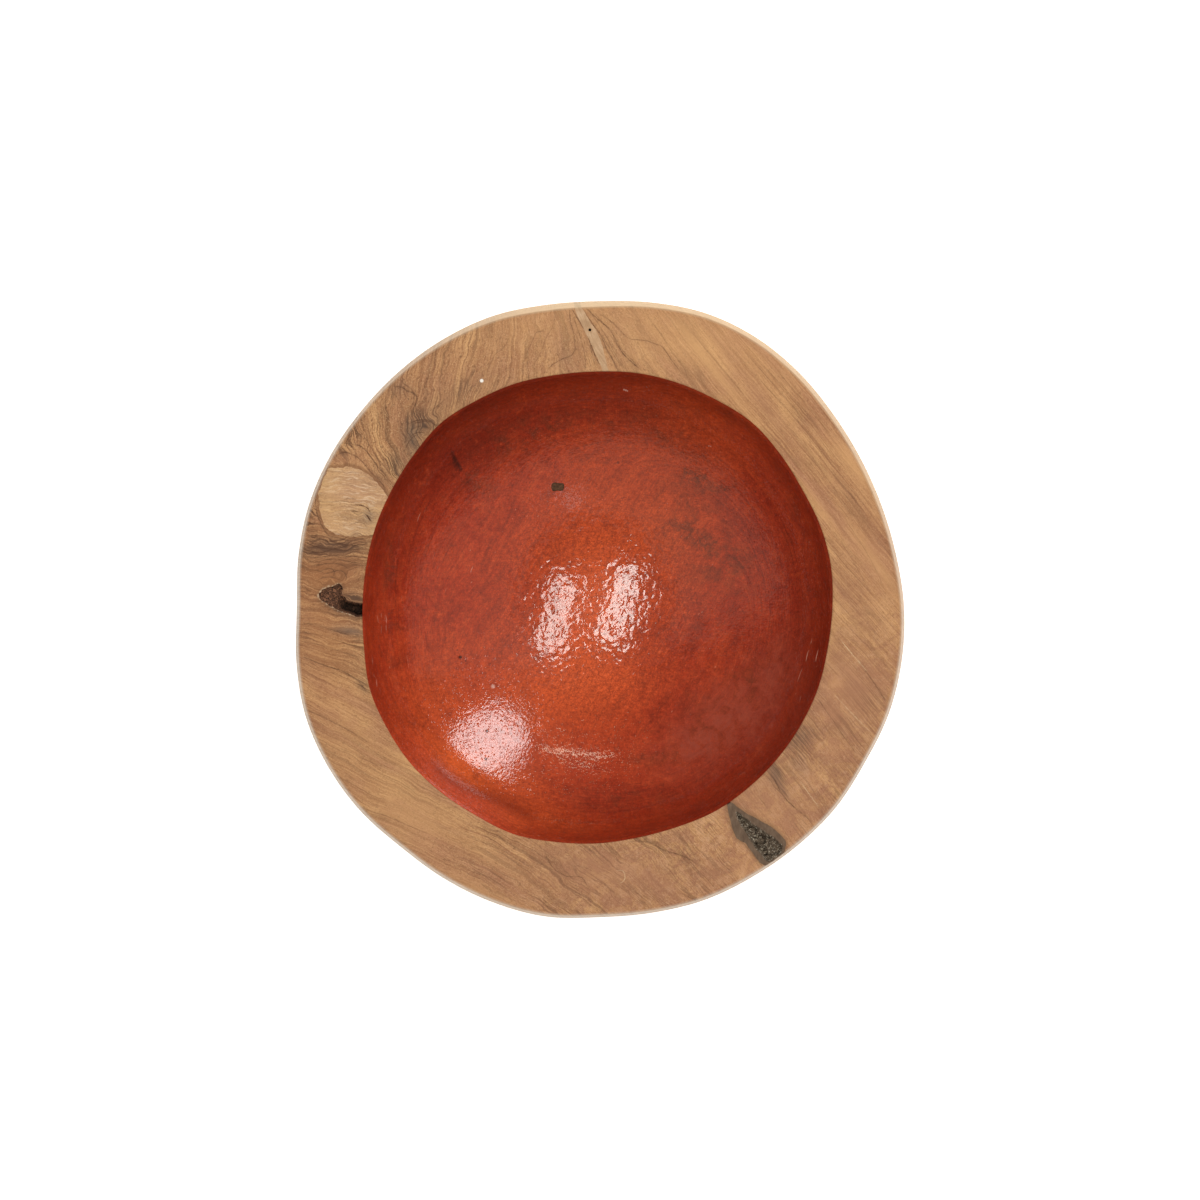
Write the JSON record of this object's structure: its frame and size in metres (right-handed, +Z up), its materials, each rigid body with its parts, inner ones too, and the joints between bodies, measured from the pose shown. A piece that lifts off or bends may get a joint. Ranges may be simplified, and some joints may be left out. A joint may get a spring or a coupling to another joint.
{
  "type": "wooden bowl",
  "caption": "Thick-walled bowl carved from root wood, with a flat sanded rim, natural knots and bark, and a glossy red lacquered hollow for holding fruit or small things.",
  "frame": {"origin": "on the resting plane, under the middle of the bowl's outline", "axes": "+Z up out of the hollow; +Y away from the viewer and +X to the right as the bowl is seen from above, with the pale knot at -X"},
  "size_m": [0.2999, 0.3044, 0.095],
  "materials": {
    "root_wood": "sanded bare teak root, flat rim, waxed thinly",
    "red_lacquer": "glossy brushed red-orange lacquer with an uneven surface",
    "knot_wood": "sanded pale branch wood",
    "bark": "rough granular bark",
    "filler": "sanded khaki wood filler"
  },
  "bodies": {
    "root": {"bowl_body": "root_wood", "lacquer_lining": "red_lacquer", "pale_knot": "knot_wood", "dark_knot_bark": "bark", "ingrown_bark": "bark", "crack_filler": "filler"}
  },
  "joints": []
}
